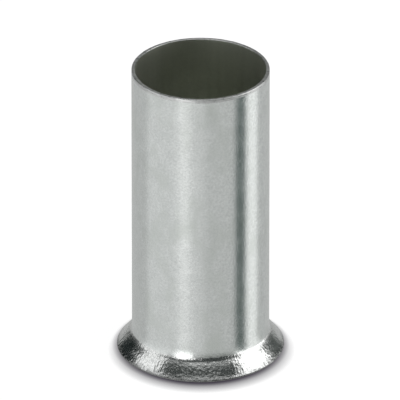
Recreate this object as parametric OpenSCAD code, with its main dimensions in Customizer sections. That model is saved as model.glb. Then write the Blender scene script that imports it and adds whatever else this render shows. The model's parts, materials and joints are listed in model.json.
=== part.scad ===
// Uninsulated wire ferrule: a length of thin tinned copper tube, cut square at one end
// and opened to a funnel at the other, so that a stranded conductor slips in with no
// strand left outside. It stands on the lip of its flare, with +Z up its axis and the
// origin at the centre of the circle it stands on. All sizes are in millimetres.

/* [Sleeve] */
// Outer diameter of the straight sleeve
sleeve_od = 8; // [4:0.1:14]
// Thickness of the tube's wall, the same in the sleeve and in the flare
wall = 0.2; // [0.15:0.01:0.4]
// Length over all, from the lip of the flare to the cut end
total_length = 18; // [10:0.5:32]

/* [Flare] */
// How far the lip of the flare stands out past the sleeve, all round
flare_reach = 0.87; // [0.6:0.01:1.5]
// Angle between the flare's wall and the ferrule's axis, in degrees
flare_angle = 41; // [25:1:60]
// Radius of the slow curve with which the sleeve eases out above the bend
ease_radius = 4; // [2:0.5:6]
// How much of the flare's angle that slow curve turns through, in degrees
ease_angle = 8; // [2:1:12]
// Radius of the hollow outside the bend, which turns through the rest of the angle
bend_radius = 0.45; // [0.1:0.05:0.6]

/* [Edges] */
// Radius that barrel plating leaves on the corners of the cut end
cut_edge_radius = 0.04; // [0.02:0.01:0.06]
// Radius on both corners of the flare's lip, which the flaring punch rolls over
lip_radius = 0.06; // [0.02:0.01:0.07]

/* [Hidden] */

turn_steps = 180; // sides of one full turn in a preview
arc_step = 7.5; // most degrees that one chord of the section's arcs may span

outer_radius = sleeve_od / 2;
bore_radius = outer_radius - wall;
lip_outer_radius = outer_radius + flare_reach;

// Unit vectors in the section, as [radius, height]: down the flare's wall, and through
// that wall from its outer skin to its inner one.
down_wall = [sin(flare_angle), -cos(flare_angle)];
through_wall = [-cos(flare_angle), -sin(flare_angle)];

// How far the bend's centre lies inside and below the slow curve's, which it is tangent to.
ease_to_bend = (ease_radius - bend_radius) * [cos(ease_angle), sin(ease_angle)];

// Length of the flare's straight wall, from the bend to where the lip starts to round.
// It follows from the lip's outermost point lying at lip_outer_radius.
bend_axis_radius = outer_radius + ease_radius - ease_to_bend.x;
flare_wall_length = (lip_outer_radius - lip_radius - bend_axis_radius
    + (bend_radius + lip_radius) * cos(flare_angle)) / sin(flare_angle);

// Height of the bend's centre. It follows from the lip's lowest point lying at z = 0.
bend_axis_z = lip_radius + (bend_radius + wall - lip_radius) * sin(flare_angle)
    + flare_wall_length * cos(flare_angle);

bend_centre = [bend_axis_radius, bend_axis_z];
ease_centre = bend_centre + ease_to_bend;
outer_lip_centre = bend_centre + (bend_radius + lip_radius) * through_wall
    + flare_wall_length * down_wall;
inner_lip_centre = outer_lip_centre + (wall - 2 * lip_radius) * through_wall;

// Points along an arc from one angle to another. Angle 0 points away from the axis,
// and 90 points up it. An arc that goes on from another leaves out its first point.
function arc(centre, radius, from, to, first = 0) =
    let (steps = ceil(abs(to - from) / arc_step))
    [for (i = [first : steps])
        let (angle = from + (to - from) * i / steps)
        centre + radius * [cos(angle), sin(angle)]];

// The square-cut end, from the bore over the rim to the outside.
function cut_end() = concat(
    arc([bore_radius + cut_edge_radius, total_length - cut_edge_radius],
        cut_edge_radius, 180, 90),
    arc([outer_radius - cut_edge_radius, total_length - cut_edge_radius],
        cut_edge_radius, 90, 0));

// The outside of the bend, which is hollow, from the sleeve down to the flare's wall.
function bend_outside() = concat(
    arc(ease_centre, ease_radius, 180, 180 + ease_angle),
    arc(bend_centre, bend_radius, 180 + ease_angle, 180 + flare_angle, first = 1));

// The rolled lip, from the flare's outer skin round under it to the inner skin.
function lip() = concat(
    arc(outer_lip_centre, lip_radius, flare_angle, flare_angle - 90),
    arc(inner_lip_centre, lip_radius, flare_angle - 90, flare_angle - 180));

// The inside of the bend, which leads the strands from the flare into the bore.
function bend_inside() = concat(
    arc(bend_centre, bend_radius + wall, 180 + flare_angle, 180 + ease_angle),
    arc(ease_centre, ease_radius + wall, 180 + ease_angle, 180, first = 1));

// The tube's wall cut through on one side of the axis.
module wall_section() {
    polygon(concat(cut_end(), bend_outside(), lip(), bend_inside()));
}

module ferrule() {
    color("silver")
        rotate_extrude($fn = turn_steps)
            wall_section();
}

ferrule();
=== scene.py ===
"""The looks of a wire ferrule: thin tinned copper tube, satin on its sleeve, dull in its bore
and worked bright on its flare. Lengths are in millimetres until mm() turns them to metres."""

import json
import math

import bpy
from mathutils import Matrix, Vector, noise

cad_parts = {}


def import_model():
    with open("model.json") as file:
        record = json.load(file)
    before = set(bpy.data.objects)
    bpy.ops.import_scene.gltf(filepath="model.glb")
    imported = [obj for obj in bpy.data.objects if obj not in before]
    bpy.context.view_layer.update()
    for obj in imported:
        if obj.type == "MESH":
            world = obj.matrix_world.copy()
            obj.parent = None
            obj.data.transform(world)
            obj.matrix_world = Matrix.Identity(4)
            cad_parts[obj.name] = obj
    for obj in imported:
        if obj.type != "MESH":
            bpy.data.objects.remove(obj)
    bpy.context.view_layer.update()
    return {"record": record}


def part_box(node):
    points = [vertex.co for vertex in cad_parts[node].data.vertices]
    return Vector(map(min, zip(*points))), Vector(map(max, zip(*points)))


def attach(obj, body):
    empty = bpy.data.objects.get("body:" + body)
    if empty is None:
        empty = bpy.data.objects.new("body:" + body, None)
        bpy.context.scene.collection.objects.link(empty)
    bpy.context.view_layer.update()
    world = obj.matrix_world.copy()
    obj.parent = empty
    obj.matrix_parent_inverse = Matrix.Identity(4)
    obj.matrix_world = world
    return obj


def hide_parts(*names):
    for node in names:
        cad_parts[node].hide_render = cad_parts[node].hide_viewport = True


MM_PER_METRE = 1000

# The section, as the CAD source has it. The sleeve's and the bore's radii, the flare's
# reach and the length come from the frame.
FLARE_ANGLE = math.radians(41)
EASE_RADIUS = 4
EASE_ANGLE = math.radians(8)
BEND_RADIUS = 0.45
CUT_EDGE_RADIUS = 0.04
LIP_RADIUS = 0.06

# How far the skin is off its true form: a slow drift everywhere, with a finer ripple on it.
DRAWN_DRIFT, DRAWN_RIPPLE = 0.004, 0.001
CUT_DRIFT, CUT_RIPPLE = 0.005, 0.001
FLARE_DRIFT, FLARE_PLEATS, FLARE_WAVE = 0.006, 0.003, 0.0075
# The heights between which flaring left one shallow wave in the flare's wall.
WAVE_TOP = 0.97
WAVE_FOOT = 0.1

# The mesh: sides of one turn, and rings along each stretch of the section.
TURN_SIDES = 360
SLEEVE_RINGS = 96
BORE_RINGS = 48
FLARE_RINGS = 22
FUNNEL_RINGS = 12
EASE_RINGS = 10
BEND_RINGS = 14
EDGE_RINGS = 6
EDGE_FLAT_RINGS = 3

# The tin's colours: the darkest and lightest of each metal's mottle, and what lies over it.
SLEEVE_TIN = (0.65, 0.67, 0.66), (0.79, 0.812, 0.8)
SLEEVE_STAIN = (0.64, 0.668, 0.642)
FLARE_TIN = (0.58, 0.59, 0.58), (0.88, 0.885, 0.875)
FLARE_BY_LIP = (0.4, 0.405, 0.4)
BORE_TIN = (0.51, 0.53, 0.46), (0.61, 0.635, 0.555)
BORE_PAINTED_SHADE = (0.4, 0.415, 0.36)
RIM_TIN = (0.47, 0.475, 0.47), (0.69, 0.695, 0.685)
# The lip's tin is darkened with painted shade, where it stands on the floor.
LIP_TIN_AND_SHADE = (0.14, 0.143, 0.14), (0.32, 0.324, 0.32)
RIM_ROUGHNESS = 0.26
LIP_ROUGHNESS = 0.44

# The heights from which and to which a finish, a colour or a painted shade changes.
SLEEVE_SHADE_HEIGHTS = 0, 18
BEND_DULLS = 0.78, 0.98
LIP_DARKENS = 0.16, 0.4
LIP_RUBBED = 0.08, 0.24
BORE_SHADE_HEIGHTS = 15.5, 17.3

# Most of a noise lies between these.
NOISE_LOW, NOISE_HIGH = 0.3, 0.7

# What the camera sees.
CAMERA_PITCH = math.radians(27.5)
CAMERA_LENS = 1400
SENSOR_WIDTH = 36
FRAME_WIDTH = 23.22
AIM_HEIGHT = 9.45
AIM_ASIDE = -0.033

FLOOR_RADIUS = 600
FLOOR_SIDES = 128
# The floor under the bore is a disc of its own, this much smaller than the lip.
DISC_INSET = 0.1
PAPER_WHITE = (0.93, 0.93, 0.93)
PAPER_ROUGHNESS = 0.9
PAPER_SPECULAR = 0.2
# The floor is a light table under thin paper, so most of its light is its own.
TABLE_WHITE = (1, 1, 1)
TABLE_GLOW = 0.9
TABLE_DIFFUSE = 0.2
# The disc under the bore glows dimmer than the floor: painted shade inside the bore.
BORE_SHADE_GLOW = 0.27
# Painted shadow of the ferrule on the paper, and a painted dark line where its lip stands.
SHADE_CENTRE = (0.06, -0.7, 0)
SHADE_WIDTH = 1.3
SHADE_COLOUR = (0.06, 0.052, 0.07)
SHADE_LINE_CENTRE = (0, -0.06, 0)
SHADE_LINE_WIDTH = 0.38
SHADE_LINE_LIGHT = 0.45


def mm(length):
    return length / MM_PER_METRE


# ---------------------------------------------------------------- section and mesh


def arc(centre, radius, start, end, rings):
    """Points on an arc with their outward directions. Angles are in degrees, 0 is away from
    the axis."""
    turn = [math.radians(start + (end - start) * i / rings) for i in range(rings + 1)]
    ways = [Vector((math.cos(a), math.sin(a))) for a in turn]
    return [(centre + radius * way, way) for way in ways]


def turned_in(points):
    """The same points, facing the arc's centre, for a hollow curve."""
    return [(point, -way) for point, way in points]


def line(start, end, facing, rings):
    """Points inside a straight stretch, without its ends, which the arcs beside it hold."""
    return [(start.lerp(end, i / rings), facing) for i in range(1, rings)]


def ferrule_section(sleeve_radius, bore_radius, lip_reach, length):
    """The wall cut through beside the axis, as rings of (point, facing, zone)."""
    wall = sleeve_radius - bore_radius
    tilt = math.degrees(FLARE_ANGLE)
    eased = math.degrees(EASE_ANGLE)
    down_wall = Vector((math.sin(FLARE_ANGLE), -math.cos(FLARE_ANGLE)))
    through_wall = Vector((-math.cos(FLARE_ANGLE), -math.sin(FLARE_ANGLE)))
    eased_way = Vector((math.cos(EASE_ANGLE), math.sin(EASE_ANGLE)))
    ease_to_bend = (EASE_RADIUS - BEND_RADIUS) * eased_way
    bend_axis = sleeve_radius + EASE_RADIUS - ease_to_bend.x
    wall_length = (
        lip_reach - LIP_RADIUS - bend_axis + (BEND_RADIUS + LIP_RADIUS) * math.cos(FLARE_ANGLE)
    ) / math.sin(FLARE_ANGLE)
    bend_height = (
        LIP_RADIUS
        + (BEND_RADIUS + wall - LIP_RADIUS) * math.sin(FLARE_ANGLE)
        + wall_length * math.cos(FLARE_ANGLE)
    )
    bend = Vector((bend_axis, bend_height))
    ease = bend + ease_to_bend
    outer_lip = bend + (BEND_RADIUS + LIP_RADIUS) * through_wall + wall_length * down_wall
    inner_lip = outer_lip + (wall - 2 * LIP_RADIUS) * through_wall
    rim_height = length - CUT_EDGE_RADIUS
    inner_rim = Vector((bore_radius + CUT_EDGE_RADIUS, rim_height))
    outer_rim = Vector((sleeve_radius - CUT_EDGE_RADIUS, rim_height))

    rim_in = arc(inner_rim, CUT_EDGE_RADIUS, 180, 90, EDGE_RINGS)
    rim_out = arc(outer_rim, CUT_EDGE_RADIUS, 90, 0, EDGE_RINGS)
    ease_out = turned_in(arc(ease, EASE_RADIUS, 180, 180 + eased, EASE_RINGS))
    bend_out = turned_in(arc(bend, BEND_RADIUS, 180 + eased, 180 + tilt, BEND_RINGS))[1:]
    lip_out = arc(outer_lip, LIP_RADIUS, tilt, tilt - 90, EDGE_RINGS)
    lip_in = arc(inner_lip, LIP_RADIUS, tilt - 90, tilt - 180, EDGE_RINGS)
    bend_in = arc(bend, BEND_RADIUS + wall, 180 + tilt, 180 + eased, BEND_RINGS)
    ease_in = arc(ease, EASE_RADIUS + wall, 180 + eased, 180, EASE_RINGS)[1:]

    def between(before, after, rings):
        return line(before[-1][0], after[0][0], after[0][1], rings)

    stretches = [
        ("rim", rim_in),
        ("rim", between(rim_in, rim_out, EDGE_FLAT_RINGS)),
        ("rim", rim_out),
        ("sleeve", between(rim_out, ease_out, SLEEVE_RINGS)),
        ("sleeve", ease_out),
        ("flare", bend_out),
        ("flare", between(bend_out, lip_out, FLARE_RINGS)),
        ("lip", lip_out),
        ("lip", between(lip_out, lip_in, EDGE_FLAT_RINGS)),
        ("lip", lip_in),
        ("flare", between(lip_in, bend_in, FUNNEL_RINGS)),
        ("flare", bend_in),
        ("bore", ease_in),
        ("bore", between(ease_in, rim_in, BORE_RINGS)),
    ]
    return [(p, facing, zone) for zone, points in stretches for p, facing in points]


def unevenness(place, turn, zone):
    """How far drawing, cutting and flaring left the skin off its true form."""
    # The numbers inside each noise are its humps to the millimetre, or to the turn's radius.
    drift = noise.noise(place * 0.55)
    if zone in ("sleeve", "bore"):
        return DRAWN_DRIFT * drift + DRAWN_RIPPLE * noise.noise(place * 2.1)
    around = Vector((math.cos(turn), math.sin(turn), 0))
    if zone in ("rim", "lip"):
        return CUT_DRIFT * noise.noise(around * 9) + CUT_RIPPLE * noise.noise(around * 31)
    pleats = noise.noise(Vector((around.x * 22, around.y * 22, place.z * 0.8)))
    down = (WAVE_TOP - place.z) / (WAVE_TOP - WAVE_FOOT)
    wave = math.sin(2 * math.pi * min(max(down, 0), 1)) * (1 + noise.noise(around * 6))
    return FLARE_DRIFT * drift + FLARE_PLEATS * pleats + FLARE_WAVE * wave


def make_ferrule(rings, materials):
    """Turns the section into one closed mesh, with the skin's unevenness in it."""
    slot_of = {zone: slot for slot, zone in enumerate(materials)}
    vertices, faces, slots = [], [], []
    count = len(rings)
    for side in range(TURN_SIDES):
        turn = 2 * math.pi * side / TURN_SIDES
        across = Vector((math.cos(turn), math.sin(turn), 0))
        for point, facing, zone in rings:
            place = across * point.x + Vector((0, 0, point.y))
            out = across * facing.x + Vector((0, 0, facing.y))
            moved = place + out * unevenness(place, turn, zone)
            vertices.append([mm(c) for c in (moved.x, moved.y, max(moved.z, 0))])
        here, after = side * count, (side + 1) % TURN_SIDES * count
        for ring in range(count):
            up = (ring + 1) % count
            faces.append((here + ring, after + ring, after + up, here + up))
            slots.append(slot_of[rings[ring][2]])
    mesh = bpy.data.meshes.new("ferrule_tube")
    mesh.from_pydata(vertices, [], faces)
    for material in materials.values():
        mesh.materials.append(material)
    mesh.polygons.foreach_set("material_index", slots)
    mesh.polygons.foreach_set("use_smooth", [True] * len(faces))
    mesh.update()
    piece = bpy.data.objects.new("ferrule_tube", mesh)
    bpy.context.collection.objects.link(piece)
    return piece


# ---------------------------------------------------------------- shader nodes


def add(tree, kind, settings=None, **inputs):
    """A node with its settings and inputs, which are named, or numbered as _0, _1 and so on.
    An input that is another node's socket is linked."""
    node = tree.nodes.new(kind)
    for name, value in (settings or {}).items():
        setattr(node, name, value)
    for name, value in inputs.items():
        number = name[1:]
        socket = node.inputs[int(number) if number.isdigit() else name.replace("_", " ")]
        if isinstance(value, bpy.types.NodeSocket):
            tree.links.new(value, socket)
        else:
            socket.default_value = value
    return node


def maths(tree, operation, first, second=0.0):
    node = add(tree, "ShaderNodeMath", {"operation": operation}, _0=first, _1=second)
    return node.outputs[0]


def vector_maths(tree, operation, first, **inputs):
    node = add(tree, "ShaderNodeVectorMath", {"operation": operation}, _0=first, **inputs)
    return node.outputs


def ranged(tree, value, low, high, to_low, to_high, kind="LINEAR"):
    """value from low to high becomes to_low to to_high, and stays there past them."""
    node = add(
        tree,
        "ShaderNodeMapRange",
        {"interpolation_type": kind},
        _0=value,
        _1=low,
        _2=high,
        _3=to_low,
        _4=to_high,
    )
    return node.outputs[0]


def grain(tree, place, scale, detail=2.0, roughness=0.5):
    """Noise over place, from 0 to 1, with scale blobs to the millimetre."""
    node = add(
        tree,
        "ShaderNodeTexNoise",
        Vector=place,
        Scale=scale,
        Detail=detail,
        Roughness=roughness,
    )
    return node.outputs[0]


def spread(tree, value, to_low=0, to_high=1):
    """A noise, made to run from to_low to to_high."""
    return ranged(tree, value, NOISE_LOW, NOISE_HIGH, to_low, to_high)


def mixed(tree, first, share, second):
    """Two noises in one: share of the first, and the rest of the second."""
    first = maths(tree, "MULTIPLY", first, share)
    second = maths(tree, "MULTIPLY", second, 1 - share)
    return maths(tree, "ADD", first, second)


def in_millimetres(tree):
    place = add(tree, "ShaderNodeTexCoord").outputs["Object"]
    return vector_maths(tree, "SCALE", place, Scale=MM_PER_METRE)[0]


def height_of(tree, place):
    return add(tree, "ShaderNodeSeparateXYZ", Vector=place).outputs["Z"]


def stretched(tree, place, along):
    """place drawn out along the axis, so that noise over it makes streaks."""
    return vector_maths(tree, "MULTIPLY", place, _1=(1, 1, along))[0]


def around_axis(tree, place, radius, along):
    """place slid out to one radius, so that noise over it makes streaks down the wall."""
    level = vector_maths(tree, "MULTIPLY", place, _1=(1, 1, 0))[0]
    way = vector_maths(tree, "NORMALIZE", level)[0]
    ring = vector_maths(tree, "SCALE", way, Scale=radius)[0]
    height = vector_maths(tree, "MULTIPLY", place, _1=(0, 0, along))[0]
    return vector_maths(tree, "ADD", ring, _1=height)[0]


def tone(tree, amount, low, high):
    """A colour from low to high by amount, 0 to 1. low is a colour or another node's."""
    low = low if isinstance(low, bpy.types.NodeSocket) else (*low, 1)
    mix = add(tree, "ShaderNodeMix", {"data_type": "RGBA"}, _0=amount, _6=low, _7=(*high, 1))
    return mix.outputs[2]


def raised(tree, height, depth, below=None):
    """A bump of depth millimetres, on top of the bump below."""
    node = add(tree, "ShaderNodeBump", Height=height, Distance=mm(depth), Strength=1.0)
    if below:
        tree.links.new(below, node.inputs["Normal"])
    return node.outputs[0]


def new_material(name):
    """A material with its nodes and its one shader."""
    material = bpy.data.materials.new(name)
    material.use_nodes = True
    tree = material.node_tree
    return material, tree, tree.nodes["Principled BSDF"]


def finish_metal(tree, shader, colour, roughness, skin):
    shader.inputs["Metallic"].default_value = 1
    tree.links.new(colour, shader.inputs["Base Color"])
    tree.links.new(roughness, shader.inputs["Roughness"])
    tree.links.new(skin, shader.inputs["Normal"])


def sleeve_tin():
    """Matt electroplated tin over drawn copper: an even fine grain with faint draw lines."""
    material, tree, shader = new_material("tin_sleeve")
    place = in_millimetres(tree)
    fine = grain(tree, place, 8.0, detail=1.0)
    cloud = grain(tree, place, 1.4)
    drawn = grain(tree, stretched(tree, place, 0.06), 5.0)
    # Painted shade: the sleeve darker towards the floor and lighter towards the rim.
    painted_sleeve_shade = ranged(tree, height_of(tree, place), *SLEEVE_SHADE_HEIGHTS, -0.06, 0.06)
    mottle = maths(tree, "ADD", mixed(tree, fine, 0.7, cloud), painted_sleeve_shade)
    colour = tone(tree, spread(tree, mottle), *SLEEVE_TIN)
    stain = grain(tree, stretched(tree, place, 0.6), 0.7, detail=3.0, roughness=0.6)
    colour = tone(tree, ranged(tree, stain, 0.48, 0.72, 0, 1), colour, SLEEVE_STAIN)
    roughness = spread(tree, cloud, 0.195, 0.225)
    skin = raised(tree, drawn, 0.001, raised(tree, fine, 0.0042))
    finish_metal(tree, shader, colour, roughness, skin)
    return material


def flare_tin():
    """Tin stretched over the flare: brighter, with fine pleats and scratches down its wall,
    duller at the bend, and darker and rubbed dull by the lip."""
    material, tree, shader = new_material("tin_flare")
    place = in_millimetres(tree)
    height = height_of(tree, place)
    pleats = grain(tree, around_axis(tree, place, 4.4, 0.35), 9.0, detail=1.0)
    scuffs = grain(tree, place, 6.0, detail=1.0)
    specks = grain(tree, place, 11.0, detail=1.0)
    cloud = grain(tree, place, 1.7)
    ragged = maths(tree, "ADD", height, spread(tree, scuffs, -0.12, 0.12))
    colour = tone(tree, ranged(tree, specks, 0.35, 0.65, 0, 1), *FLARE_TIN)
    # Darker towards the lip.
    colour = tone(tree, ranged(tree, ragged, *LIP_DARKENS, 0.75, 0), colour, FLARE_BY_LIP)
    dull = ranged(tree, height, *BEND_DULLS, 0, 0.08)
    polished = maths(tree, "ADD", dull, spread(tree, cloud, 0.16, 0.23))
    roughness = maths(tree, "ADD", polished, ranged(tree, ragged, *LIP_RUBBED, 0.33, 0))
    skin = raised(tree, scuffs, 0.013, raised(tree, pleats, 0.011))
    finish_metal(tree, shader, colour, roughness, skin)
    return material


def bore_tin():
    """The bore's tin, thin and dull, with the copper's draw lines showing through."""
    material, tree, shader = new_material("tin_bore")
    place = in_millimetres(tree)
    fine = grain(tree, place, 6.0, detail=3.0, roughness=0.6)
    drawn = grain(tree, stretched(tree, place, 0.05), 3.5)
    mottle = mixed(tree, fine, 0.5, drawn)
    colour = tone(tree, spread(tree, mottle), *BORE_TIN)
    # Painted shade: the bore's wall darker towards its mouth.
    bore_shade = ranged(tree, height_of(tree, place), *BORE_SHADE_HEIGHTS, 0, 0.5)
    colour = tone(tree, bore_shade, colour, BORE_PAINTED_SHADE)
    roughness = spread(tree, drawn, 0.44, 0.5)
    finish_metal(tree, shader, colour, roughness, raised(tree, mottle, 0.003))
    return material


def edge_tin(name, colours, roughness):
    """The sheared rim and the lip: tin over the cut's fine ridges."""
    material, tree, shader = new_material(name)
    ridges = grain(tree, around_axis(tree, in_millimetres(tree), 4.0, 4.0), 3.5)
    colour = tone(tree, spread(tree, ridges), *colours)
    roughness = spread(tree, ridges, roughness, roughness + 0.1)
    finish_metal(tree, shader, colour, roughness, raised(tree, ridges, 0.001))
    return material


# ---------------------------------------------------------------- studio

# The studio's cards and lamps, far off all round, each painted over those before it:
# bearing and half width in degrees (0 is towards the camera, 90 to its right), lowest and
# highest elevation, softness of its edges in degrees, and colour.
STUDIO = {
    "table": (0, 180, -90, -15, 8, (0.555, 0.562, 0.558)),
    "table_front": (12, 46, -90, -15, 8, (0.61, 0.617, 0.612)),
    "table_left": (-58, 42, -70, -10, 10, (0.73, 0.738, 0.735)),
    "streak_tail": (-13, 17, -60, -15, 20, (0.72, 0.726, 0.722)),
    "left_streak": (-28, 8, -60, -12, 7, (0.855, 0.86, 0.855)),
    "right_low": (90, 32, -17, 10, 6, (2.0, 2.0, 2.0)),
    "right_gap": (70.6, 8.5, -62, -15, 8, (0.1, 0.13, 0.123)),
    "right_band": (97, 12, -62, -14, 8, (1.05, 1.06, 1.05)),
    "back_paper": (180, 34, -14, 13, 6, (0.45, 0.46, 0.45)),
    "back_wall": (180, 34, 13, 44, 6, (0.25, 0.255, 0.25)),
    "back_light": (180, 24, -20, 12, 6, (0.75, 0.76, 0.75)),
    "right_room": (128, 16, 0, 40, 8, (0.09, 0.1, 0.095)),
    "camera_side": (0, 58, 53, 70, 4, (0.44, 0.45, 0.445)),
    "table_back": (180, 44, -24, -4, 8, (0.5, 0.506, 0.502)),
    "left_room": (-126, 16, -8, 40, 8, (0.015, 0.02, 0.02)),
    "left_low": (-79, 27, -20, 17, 8, (0.98, 0.99, 0.99)),
    "left_box": (-86, 18, 10, 66, 6, (1.1, 1.11, 1.11)),
    "right_box": (90.5, 22, 10, 66, 5, (1.9, 1.9, 1.9)),
    "front_lamp": (-27, 13, -20, 20, 6, (2.2, 2.2, 2.2)),
    "top_box": (0, 180, 70, 91, 6, (2.5, 2.5, 2.5)),
    "under": (0, 180, -91, -76, 8, (0.07, 0.08, 0.075)),
    "under_lip": (180, 66, -91, -43, 6, (0.4, 0.405, 0.4)),
}
STUDIO_DARK = (0.045, 0.052, 0.05)
BACKDROP_WHITE = (1.05, 1.05, 1.05)


def card_mask(tree, level, height, bearing, half_width, low, high, soft):
    """1 on the card and 0 off it, by a ray's level direction and its height in degrees."""
    fade = soft / 2
    mask = maths(
        tree,
        "MULTIPLY",
        ranged(tree, height, low - fade, low + fade, 0, 1, "SMOOTHSTEP"),
        ranged(tree, height, high - fade, high + fade, 1, 0, "SMOOTHSTEP"),
    )
    if half_width >= 180:
        return mask
    turn = math.radians(bearing)
    middle = (math.sin(turn), -math.cos(turn), 0)
    towards = vector_maths(tree, "DOT_PRODUCT", level, _1=middle)[1]
    near = math.cos(math.radians(half_width - fade))
    far = math.cos(math.radians(half_width + fade))
    return maths(tree, "MULTIPLY", mask, ranged(tree, towards, far, near, 0, 1, "SMOOTHSTEP"))


def make_world():
    """A studio at a distance, for light and reflections, and plain white for the backdrop."""
    world = bpy.data.worlds.new("studio")
    world.use_nodes = True
    tree = world.node_tree
    tree.nodes.clear()
    way = add(tree, "ShaderNodeTexCoord").outputs["Generated"]
    level = vector_maths(tree, "MULTIPLY", way, _1=(1, 1, 0))[0]
    level = vector_maths(tree, "NORMALIZE", level)[0]
    height = maths(tree, "DEGREES", maths(tree, "ARCSINE", height_of(tree, way)))
    light = STUDIO_DARK
    for *extent, colour in STUDIO.values():
        light = tone(tree, card_mask(tree, level, height, *extent), light, colour)
    seen = add(tree, "ShaderNodeLightPath").outputs["Is Camera Ray"]
    shine = add(tree, "ShaderNodeBackground", Color=tone(tree, seen, light, BACKDROP_WHITE))
    out = add(tree, "ShaderNodeOutputWorld")
    tree.links.new(shine.outputs[0], out.inputs[0])
    bpy.context.scene.world = world


def paper(name, glow):
    """White paper that glows, as a material, its nodes and its shader."""
    material, tree, shader = new_material(name)
    shader.inputs["Base Color"].default_value = (*PAPER_WHITE, 1)
    shader.inputs["Roughness"].default_value = PAPER_ROUGHNESS
    shader.inputs["Specular IOR Level"].default_value = PAPER_SPECULAR
    shader.inputs["Emission Color"].default_value = (*TABLE_WHITE, 1)
    shader.inputs["Emission Strength"].default_value = glow
    return material, tree, shader


def painted_shadow_light(tree, place, centre, lip_radius, width, darkest):
    """Painted light on the paper for its painted shadow: darkest at the lip's nearest point to
    centre, and 1 past width.
    """
    away = vector_maths(tree, "DISTANCE", place, _1=centre)[1]
    nearest = lip_radius + centre[1]
    return ranged(tree, away, nearest, nearest + width, darkest, 1)


def paper_with_painted_shadow(lip_radius):
    """Paper that glows, so that it stays white beside the ferrule, with the lip's shadow painted
    on it.

    The painted shadow is a soft disc, placed forward as if a light from behind threw it, and a
    painted dark line at the lip that fades towards the back."""
    material, tree, shader = paper("paper_with_painted_shadow", TABLE_GLOW)
    place = vector_maths(tree, "MULTIPLY", in_millimetres(tree), _1=(1, 1, 0))[0]
    soft = painted_shadow_light(tree, place, SHADE_CENTRE, lip_radius, SHADE_WIDTH, 0)
    painted_lip_line = painted_shadow_light(
        tree, place, SHADE_LINE_CENTRE, lip_radius, SHADE_LINE_WIDTH, SHADE_LINE_LIGHT
    )
    # The painted shadow darkens both the paper's colour and its glow.
    colour = tone(tree, maths(tree, "MULTIPLY", soft, painted_lip_line), SHADE_COLOUR, TABLE_WHITE)
    dimmed = vector_maths(tree, "SCALE", colour, Scale=TABLE_DIFFUSE)[0]
    tree.links.new(dimmed, shader.inputs["Base Color"])
    tree.links.new(colour, shader.inputs["Emission Color"])
    return material


def flat_ring(name, inner, outer, material):
    """A flat ring on the floor, or a disc where inner is 0."""
    ways = [2 * math.pi * i / FLOOR_SIDES for i in range(FLOOR_SIDES)]
    radii = (inner, outer) if inner else (outer,)
    points = [(mm(r * math.cos(a)), mm(r * math.sin(a)), 0) for r in radii for a in ways]
    if inner:
        after = [(i + 1) % FLOOR_SIDES for i in range(FLOOR_SIDES)]
        faces = [(i, i + FLOOR_SIDES, j + FLOOR_SIDES, j) for i, j in enumerate(after)]
    else:
        faces = [tuple(range(FLOOR_SIDES))]
    mesh = bpy.data.meshes.new(name)
    mesh.from_pydata(points, [], faces)
    mesh.materials.append(material)
    ring = bpy.data.objects.new(name, mesh)
    bpy.context.collection.objects.link(ring)
    return ring


def make_floor(lip_contact_radius, lip_radius):
    """A white floor. The metal mirrors the studio in place of it, apart from the disc inside."""
    edge = lip_contact_radius - DISC_INSET
    floor = flat_ring("floor", edge, FLOOR_RADIUS, paper_with_painted_shadow(lip_radius))
    floor.visible_glossy = False
    # The disc under the bore glows dimmer, as painted shade.
    flat_ring("floor_under_bore", 0, edge, paper("white_paper", BORE_SHADE_GLOW)[0])


def make_camera():
    data = bpy.data.cameras.new("camera")
    data.lens = CAMERA_LENS
    data.sensor_width = SENSOR_WIDTH
    camera = bpy.data.objects.new("camera", data)
    bpy.context.collection.objects.link(camera)
    distance = FRAME_WIDTH * CAMERA_LENS / SENSOR_WIDTH
    back = Vector((0, -math.cos(CAMERA_PITCH), math.sin(CAMERA_PITCH)))
    aim = Vector((AIM_ASIDE, 0, AIM_HEIGHT))
    camera.location = (aim + back * distance) / MM_PER_METRE
    camera.rotation_euler = (math.pi / 2 - CAMERA_PITCH, 0, 0)
    bpy.context.scene.camera = camera


def main():
    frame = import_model()
    low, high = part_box("ferrule")
    lip_reach = (high[0] - low[0]) / 2 * MM_PER_METRE
    length = high[2] * MM_PER_METRE
    radii = {m["name"]: m["dims"].get("r_mm") for m in frame["record"]["mounts"]}
    rings = ferrule_section(radii["sleeve"], radii["wire_bore"], lip_reach, length)
    materials = {
        "sleeve": sleeve_tin(),
        "flare": flare_tin(),
        "bore": bore_tin(),
        "rim": edge_tin("tin_rim", RIM_TIN, RIM_ROUGHNESS),
        "lip": edge_tin("tin_lip_and_shade", LIP_TIN_AND_SHADE, LIP_ROUGHNESS),
    }
    tube = make_ferrule(rings, materials)
    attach(tube, "root")
    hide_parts("ferrule")

    make_world()
    points = [point for point, _, _ in rings]
    make_floor(min(points, key=lambda p: p.y).x, max(p.x for p in points))
    make_camera()
    bpy.context.scene.view_settings.view_transform = "Standard"


main()
